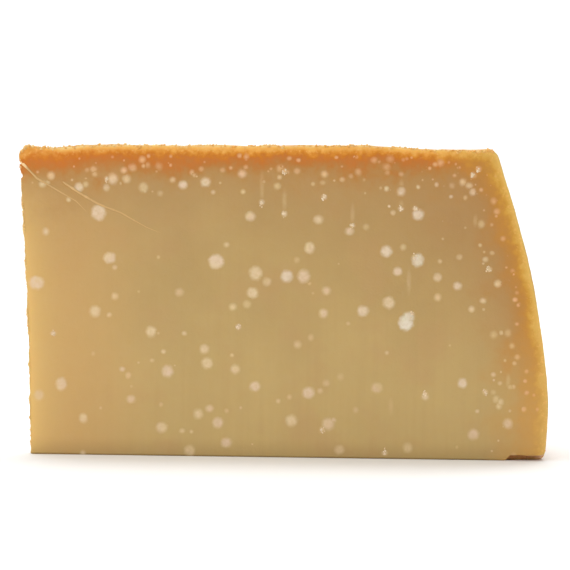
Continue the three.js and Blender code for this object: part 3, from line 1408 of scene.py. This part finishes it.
    def build(self, origin: Array) -> bpy.types.Object:
        """Makes the chunk's mesh and dresses it.

        Args:
            origin: The object's origin in the wheel's frame.

        Returns:
            The piece that stands for the solid.
        """
        outside, broken, chipped = self.shape()
        piece = mesh_object("cheese_chunk", (self.points - origin) * MM, self.quads)
        fields = self.point_fields(outside, broken) | self.nests.corner_fields(self.points, self.quads)
        fields[Field.BASE] = np.repeat((self.shares[self.quads, 2] == 0).all(axis=1), 4).astype(float)
        fields[Field.CHIP] = chipped[self.quads.ravel()] * fields[Field.BASE]
        for key, values in fields.items():
            write_field(piece, key, values)
        join_body(piece, self.finish.material())
        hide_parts(NODE)
        return piece

    def edge_points(self, first: Side, second: Side) -> Numbers:
        """Numbers the skin's points that lie on the edge of two sides."""
        return np.intersect1d(self.side_points(first), self.side_points(second))

    def side_points(self, side: Side) -> Numbers:
        """Numbers the skin's points that lie on one side."""
        axis, end = side.value
        return np.flatnonzero(self.shares[:, axis] == end)

    def settle(self, places: Array) -> Array:
        """Moves places of the front cut's plane onto the skin, by its nearest point seen from the front.

        Args:
            places: Points of the plane y = 0, one row each.

        Returns:
            The same points at the skin's own y.
        """
        front = self.points[self.side_points(Side.FRONT)]
        flat = front[:, ::2]
        apart = (flat**2).sum(axis=1) - 2 * places[:, ::2] @ flat.T
        settled = places.copy()
        settled[:, 1] = front[apart.argmin(axis=1), 1]
        return settled


def tangent_frames(normals: Array, draw: np.random.Generator) -> Array:
    """Turns a right-handed frame at random about each normal.

    Args:
        normals: Unit normals.
        draw: The source of random numbers.

    Returns:
        For each normal two tangents and the normal, as rows.
    """
    aside = np.cross(normals, draw.normal(size=normals.shape))
    aside /= np.linalg.norm(aside, axis=1, keepdims=True)
    return np.stack([aside, np.cross(normals, aside), normals], axis=1)


@dataclass
class RaisedCrystals:
    """Hard crystals that the knife has torn up, so that they stand proud of the cuts in little clusters."""

    chunk: Chunk
    finish: GrainFinish = GrainFinish("pale_crystal", (246, 230, 202), (226, 196, 152), 0.5)
    in_cluster: int = 10
    spread: tuple[float, float, float] = (0.34, 0.02, 0.66)
    sizes: tuple[float, float] = (0.16, 0.46)
    size_power: float = 1.5
    swelling: float = 0.3
    most_swelling: float = 0.5
    flatness: float = 0.3
    lowest: float = 0.9
    back_clusters: int = 24
    bodies: ClosedBodies = ClosedBodies(rings=3, around=6)
    seed: int = 7

    def build(self, origin: Array) -> bpy.types.Object:
        """Sets clusters of flattened lumps on the front cut, and as thickly on the back cut.

        Args:
            origin: The object's origin in the wheel's frame.

        Returns:
            The crystals in one piece.
        """
        chunk = self.chunk
        draw = np.random.default_rng(self.seed)
        front = chunk.settle(chunk.wheel.on_cut(np.array(chunk.nests.torn, float)))
        back = draw.choice(chunk.side_points(Side.BACK), self.back_clusters)
        facing = np.concatenate([np.tile(FACING_FRONT, (len(front), 1)), chunk.normals[back]])
        centres = np.repeat(np.concatenate([front, chunk.points[back]]), self.in_cluster, axis=0)
        centres += draw.normal(size=centres.shape) * self.spread
        centres[:, 2] = np.maximum(centres[:, 2], self.lowest)
        frames = tangent_frames(np.repeat(facing, self.in_cluster, axis=0), draw)
        low, high = self.sizes
        half = low + (high - low) * draw.random((len(centres), 3)) ** self.size_power
        half[:, 2] *= self.flatness
        swell = self.swelling * draw.normal(size=(len(centres), self.bodies.size))
        swell = np.clip(swell, -self.most_swelling, self.most_swelling)
        points = self.bodies.lumps(centres, frames * half[:, :, None], swell)
        piece = mesh_object("raised_crystals", (points - origin) * MM, self.bodies.faces(len(centres)))
        write_field(piece, Field.WARMTH, np.repeat(draw.random(len(centres)), self.bodies.size))
        join_body(piece, self.finish.material())
        return piece


@dataclass
class KnifeMarks:
    """Two long raised scratches that the knife has left, slanting down from the tip's upper corner.

    Each is a path of (distance from the tip's foot, height) on the front cut, and the first starts wider and
    pale at the tip, its paleness a painted highlight.
    """

    chunk: Chunk
    scratches: tuple[tuple[tuple[float, float], ...], ...] = (
        ((-4, 104), (-2, 102), (2, 98), (9, 94), (16, 90), (20, 86)),
        ((11, 97), (17, 93), (24, 89), (32, 86), (41, 81), (46, 79)),
    )
    finish: GrainFinish = GrainFinish("knife_mark", (252, 216, 160), (206, 166, 108), 0.5)
    width: float = 0.6
    height: float = 0.07
    thinnest: float = 0.4
    coming_and_going: float = 3.0
    fading: float = 0.7
    start_swell_and_highlight: float = 1.2
    start_share: float = 0.14
    pale_span: tuple[float, float] = (0.5, 1.0)
    bodies: ClosedBodies = ClosedBodies(rings=90, around=6)

    def paths(self, steps: Array) -> Array:
        """Runs evenly along each scratch.

        Args:
            steps: Shares of a scratch's length, one for each ring and each pole.

        Returns:
            The (distance, height) of each scratch at each step.
        """
        runs = []
        for scratch in self.scratches:
            corners = np.array(scratch, float)
            lengths = np.concatenate([[0], np.cumsum(np.hypot(*np.diff(corners, axis=0).T))])
            runs.append([np.interp(steps * lengths[-1], lengths, line) for line in corners.T])
        return np.array(runs).transpose(0, 2, 1)

    def build(self, origin: Array) -> bpy.types.Object:
        """Carries a low ellipse along each path, its width and its paleness coming and going along it.

        Args:
            origin: The object's origin in the wheel's frame.

        Returns:
            The marks in one piece.
        """
        chunk = self.chunk
        rings = self.bodies.rings
        steps = np.linspace(0, 1, rings + 2)
        places = chunk.wheel.on_cut(self.paths(steps))
        paths = chunk.settle(places.reshape(-1, 3)).reshape(places.shape)
        waves = chunk.uneven.waves(paths.reshape(-1, 3) + 3, self.coming_and_going)
        coming = (0.5 + 0.5 * waves).reshape(paths.shape[:2]) * (1 - self.fading * steps)
        # Painted highlight: the first scratch swells and pales at its start by the tip.
        start = self.start_swell_and_highlight * np.exp(-((steps / self.start_share) ** 2))
        coming[0] = np.maximum(coming[0], start)
        ease = self.thinnest + (1 - self.thinnest) * coming[:, 1:-1]
        ease *= np.sin(np.pi * np.sqrt(steps[1:-1])) ** 0.5
        facing = np.tile(FACING_FRONT, (len(paths), 1))
        points = self.bodies.ridges(paths, facing, self.width * ease, self.height * ease)
        piece = mesh_object("knife_marks", (points - origin) * MM, self.bodies.faces(len(paths)))
        turns = np.concatenate([[1], np.full(rings, self.bodies.around), [1]])
        warmth = 1 - smooth_step(coming, *self.pale_span)
        write_field(piece, Field.WARMTH, np.repeat(warmth, turns, axis=1).ravel())
        join_body(piece, self.finish.material())
        return piece


@dataclass
class Crumbs:
    """Crumbs that hang on where the knife broke through: amber along the rind, straw along the tip."""

    chunk: Chunk
    finish: GrainFinish = GrainFinish("crumb", (238, 206, 142), (228, 164, 76), 0.55, grain=0.5)
    edges: tuple[tuple[Side, Side, int, float, float], ...] = (
        (Side.FRONT, Side.TOP, 900, 0.5, 0.5),
        (Side.BACK, Side.TOP, 900, 0.5, 0.5),
        (Side.FRONT, Side.TIP, 240, 0.2, 0.32),
        (Side.BACK, Side.TIP, 240, 0.2, 0.32),
        (Side.FRONT, Side.HEEL, 30, 0.4, 0.25),
        (Side.BACK, Side.HEEL, 30, 0.4, 0.25),
    )
    smallest: float = 0.1
    size_power: float = 2.2
    stretch: tuple[float, float] = (0.6, 1.5)
    flatness: float = 0.6
    swelling: float = 0.32
    swell_limits: tuple[float, float] = (-0.5, 0.6)
    scatter: Place = (0.5, 0.5, 0.15)
    sunk: float = 0.2
    shade_spread: float = 0.3
    lowest: float = 2.5
    bodies: ClosedBodies = ClosedBodies(rings=3, around=6)
    seed: int = 3

    def build(self, origin: Array) -> bpy.types.Object:
        """Sets uneven lumps half into the skin along the edges.

        Args:
            origin: The object's origin in the wheel's frame.

        Returns:
            The crumbs in one piece.
        """
        chunk = self.chunk
        draw = np.random.default_rng(self.seed)
        chosen = np.concatenate([
            draw.choice(chunk.edge_points(first, second), count) for first, second, count, _, _ in self.edges
        ])
        counts, warmths, largest = zip(*(edge[2:] for edge in self.edges))
        kept = chunk.points[chosen, 2] > self.lowest
        chosen, warmth = chosen[kept], np.repeat(warmths, counts)[kept]
        room = np.repeat(largest, counts)[kept] - self.smallest
        size = self.smallest + room * draw.random(len(chosen)) ** self.size_power
        frames = tangent_frames(chunk.normals[chosen], draw)
        shift = draw.normal(size=(len(chosen), 3)) * self.scatter - (0, 0, self.sunk)
        centres = chunk.points[chosen] + np.einsum("nc,ncd->nd", shift, frames) * size[:, None]
        half = size[:, None] * draw.uniform(*self.stretch, (len(chosen), 3)) * (1.0, 1.0, self.flatness)
        swell = np.clip(self.swelling * draw.normal(size=(len(chosen), self.bodies.size)), *self.swell_limits)
        points = self.bodies.lumps(centres, frames * half[:, :, None], swell)
        piece = mesh_object("edge_crumbs", (points - origin) * MM, self.bodies.faces(len(chosen)))
        shade = np.clip(warmth + self.shade_spread * draw.normal(size=len(chosen)), 0, 1)
        write_field(piece, Field.WARMTH, np.repeat(shade, self.bodies.size))
        join_body(piece, self.finish.material())
        return piece


@dataclass(frozen=True)
class Lamp:
    """A square soft light: its place, what it points at, its edge in metres and its power in watts."""

    name: str
    place: Place
    aim: Place
    size: float
    power: float

    def hang(self) -> None:
        """Adds the light to the scene, turned to what it points at."""
        data = bpy.data.lights.new(self.name, "AREA")
        data.size = self.size
        data.energy = self.power
        lamp = bpy.data.objects.new(self.name, data)
        lamp.location = self.place
        lamp.rotation_euler = (Vector(self.aim) - Vector(self.place)).to_track_quat("-Z", "Y").to_euler()
        bpy.context.scene.collection.objects.link(lamp)


@dataclass(frozen=True)
class Studio:
    """A pale seamless floor, soft light from above and in front, and a camera before the front cut."""

    lens: float = 120.0
    sensor: float = 36.0
    frame_width: float = 200.9
    aim_along: float = 90.4
    aim_height: float = 60.9
    climb: float = math.radians(1.0)
    turn: float = math.radians(3.5)
    roll: float = math.radians(0.43)
    floor_tint: Tint = (246, 246, 245)
    floor_roughness: float = 0.7
    floor_rows: int = 14
    bend_rows: int = 24
    wall_rows: int = 8
    floor_start: float = -4.0
    floor_end: float = 1.2
    floor_half_width: float = 5.0
    bend: float = 0.8
    wall_top: float = 3.0
    sky_strength: float = 0.48
    lamps: tuple[Lamp, ...] = (
        Lamp("overhead", (-0.15, 0.0, 0.95), (0, 0, 0.05), 0.9, 4.2),
        Lamp("front", (-0.4, -1.3, 0.25), (0, 0, 0.05), 0.9, 5.2),
        Lamp("left", (-0.9, -0.3, 0.4), (0, 0, 0.05), 0.5, 1.5),
        Lamp("behind", (0.7, 0.9, 0.55), (0, 0, 0.05), 0.6, 2.2),
        Lamp("backdrop", (0.0, 0.7, 1.9), (0, 2.0, 0.6), 1.6, 30.0),
    )

    def camera(self, wheel: Wheel, origin: Array) -> None:
        """Aims the camera at a point of the front cut, a little from above and slightly rolled.

        Args:
            wheel: The wheel that the front cut belongs to.
            origin: The object's origin in the wheel's frame.
        """
        aim = Vector(np.array([wheel.tip_from_axis + self.aim_along, 0, self.aim_height]) - origin) * MM
        away = self.lens * self.frame_width / self.sensor * MM
        level = math.cos(self.climb)
        back = Vector((math.sin(self.turn) * level, -math.cos(self.turn) * level, math.sin(self.climb)))
        data = bpy.data.cameras.new("camera")
        data.lens = self.lens
        data.sensor_width = self.sensor
        data.clip_start = 0.01
        camera = bpy.data.objects.new("camera", data)
        facing = (-back).to_track_quat("-Z", "Y").to_matrix() @ Matrix.Rotation(self.roll, 3, "Z")
        camera.matrix_world = Matrix.Translation(aim + back * away) @ facing.to_4x4()
        bpy.context.scene.collection.objects.link(camera)
        bpy.context.scene.camera = camera

    def floor(self) -> bpy.types.Object:
        """Sweeps a level line that turns up through a quarter circle into a wall.

        Returns:
            The floor and backdrop in one piece.
        """
        level = np.linspace(self.floor_start, self.floor_end, self.floor_rows)
        turn = np.linspace(0, math.pi / 2, self.bend_rows)[1:]
        wall = np.linspace(self.bend, self.wall_top, self.wall_rows)[1:]
        turned_y = self.floor_end + self.bend * np.sin(turn)
        turned_z = self.bend * (1 - np.cos(turn))
        profile_y = np.concatenate([level, turned_y, np.full_like(wall, turned_y[-1])])
        profile_z = np.concatenate([np.zeros_like(level), turned_z, wall])
        across = np.linspace(-self.floor_half_width, self.floor_half_width, 2)
        points = np.stack([
            np.repeat(across, len(profile_y)),
            np.tile(profile_y, len(across)),
            np.tile(profile_z, len(across)),
        ], axis=1)
        number = np.arange(len(points)).reshape(len(across), len(profile_y))
        quads = np.stack([number[:-1, :-1], number[1:, :-1], number[1:, 1:], number[:-1, 1:]], axis=-1)
        piece = mesh_object("floor", points, quads.reshape(-1, 4))
        bench = Bench("pale_floor")
        bench.shader.inputs["Base Color"].default_value = linear(self.floor_tint)
        bench.shader.inputs["Roughness"].default_value = self.floor_roughness
        piece.data.materials.append(bench.material)
        return piece

    def build(self, wheel: Wheel, origin: Array) -> None:
        """Sets up floor, lights, surroundings and camera.

        Args:
            wheel: The wheel that the front cut belongs to.
            origin: The object's origin in the wheel's frame.
        """
        self.floor()
        for lamp in self.lamps:
            lamp.hang()
        world = bpy.data.worlds.new("surroundings")
        world.use_nodes = True
        sky = world.node_tree.nodes["Background"]
        sky.inputs["Color"].default_value = (1, 1, 1, 1)
        sky.inputs["Strength"].default_value = self.sky_strength
        bpy.context.scene.world = world
        bpy.context.scene.view_settings.view_transform = "Standard"
        self.camera(wheel, origin)


def main() -> None:
    """Builds the chunk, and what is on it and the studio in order."""
    logging.basicConfig(level=logging.INFO)
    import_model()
    wheel = Wheel()
    low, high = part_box(NODE)
    origin = np.array([wheel.radius - high.x / MM, -low.y / MM, 0.0])
    chunk = Chunk(wheel, Nests(wheel), CheeseFinish())
    for maker in (chunk, RaisedCrystals(chunk), KnifeMarks(chunk), Crumbs(chunk)):
        piece = maker.build(origin)
        LOG.info("%s: %d faces", piece.name, len(piece.data.polygons))
    Studio().build(wheel, origin)


if __name__ == "__main__":
    main()
